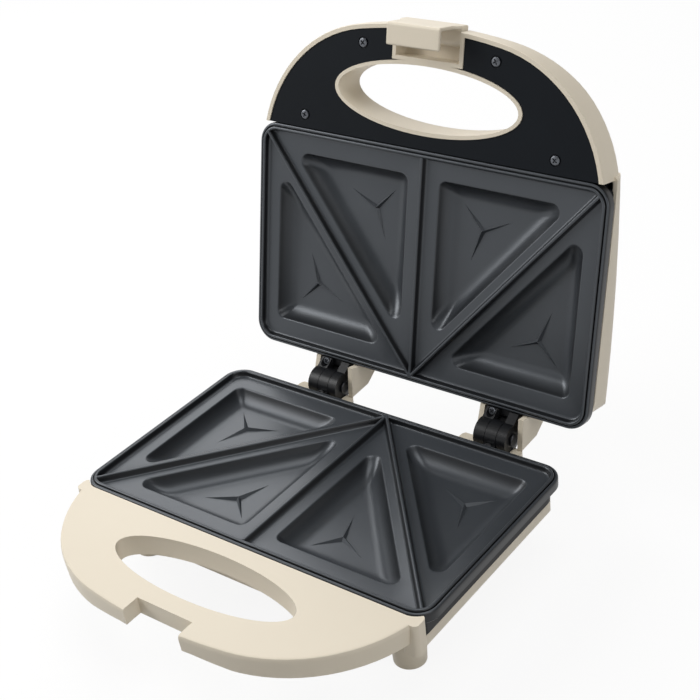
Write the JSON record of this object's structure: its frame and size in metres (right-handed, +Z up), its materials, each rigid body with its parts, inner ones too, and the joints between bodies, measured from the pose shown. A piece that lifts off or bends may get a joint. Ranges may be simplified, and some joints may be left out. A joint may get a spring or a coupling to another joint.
{
  "type": "sandwich toaster",
  "caption": "Sandwich toaster with a hinged lid, non-stick plates with triangular pockets, oval carrying openings and a swinging latch, shown open.",
  "frame": {"origin": "on the surface that the feet stand on, half way along and across the open toaster", "axes": "+Z up, -Y towards the handles (the user), +X to the user's right, along the hinge axis"},
  "size_m": [0.2262, 0.2813, 0.2608],
  "materials": {
    "cream": "warm ivory moulded plastic, fine satin",
    "black_plastic": "near-black heat-resistant moulded plastic, satin",
    "non_stick": "cast aluminium under a dark grey satin non-stick coating",
    "heater_steel": "heat-tinted steel sheath",
    "ceramic": "white ceramic, matt",
    "bright_steel": "plain sheet steel",
    "dark_steel": "black painted steel",
    "screw_black": "black oxide steel",
    "rubber": "black rubber",
    "lens_red": "clear red plastic lens",
    "lens_green": "clear green plastic lens",
    "lamp_glass": "neon lamp glass"
  },
  "bodies": {
    "base": {"lower_housing": "cream", "foot_pads": "rubber", "lower_frame": "black_plastic", "lower_plate": "non_stick", "lower_heater": "heater_steel", "lower_heater_ends": "ceramic", "lower_heater_clamps": "bright_steel", "lower_reflector": "bright_steel", "lower_plate_screws": "bright_steel", "thermostat": "ceramic", "thermal_fuse": "bright_steel", "cord_bush": "rubber", "hinge_arms_lower": "dark_steel", "lower_hinge_screws": "bright_steel", "hinge_pins": "bright_steel"},
    "lid": {"hinge_arms_upper": "dark_steel", "upper_hinge_screws": "bright_steel", "upper_housing": "cream", "lid_cover": "black_plastic", "cover_screws": "screw_black", "upper_plate": "non_stick", "upper_heater": "heater_steel", "upper_heater_ends": "ceramic", "upper_heater_clamps": "bright_steel", "upper_reflector": "bright_steel", "upper_plate_screws": "bright_steel", "power_lens": "lens_red", "ready_lens": "lens_green", "lamp_bulbs": "lamp_glass", "lamp_holder": "ceramic", "latch_pin": "bright_steel"},
    "latch": {"latch": "cream"}
  },
  "joints": [
    {"name": "lid_hinge", "type": "hinge", "parent": "base", "child": "lid", "pos_m": [0, 0.07356, 0.0471], "axis": [1, 0, 0], "range_deg": [0, 102.6]},
    {"name": "latch_pivot", "type": "hinge", "parent": "lid", "child": "latch", "pos_m": [0, 0.12797, 0.24838], "axis": [1, 0, 0], "range_deg": [-20, 12]}
  ]
}
